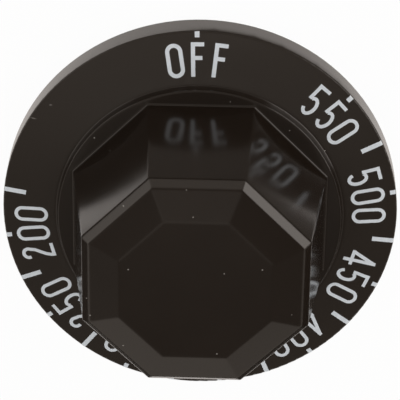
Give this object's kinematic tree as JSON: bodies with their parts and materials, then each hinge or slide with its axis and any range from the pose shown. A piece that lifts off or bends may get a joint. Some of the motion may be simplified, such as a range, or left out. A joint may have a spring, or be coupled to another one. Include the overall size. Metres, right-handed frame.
{
  "type": "thermostat knob",
  "caption": "Black thermostat knob: round dial flange with printed temperatures, low collar and tapered octagonal grip, hollow behind, with a sprung D socket for a control shaft.",
  "frame": {"origin": "on the shaft axis, in the plane of the back rim", "axes": "+Z along the shaft axis from the back rim to the top of the grip, +Y towards OFF on the dial"},
  "size_m": [0.0636, 0.0636, 0.03],
  "materials": {
    "knob_body": "glossy black phenolic moulding with white paint-filled dial marks",
    "spring_steel": "bright rolled spring strip"
  },
  "bodies": {
    "root": {"knob_body": "knob_body", "shaft_spring_clip": "spring_steel"}
  },
  "joints": []
}
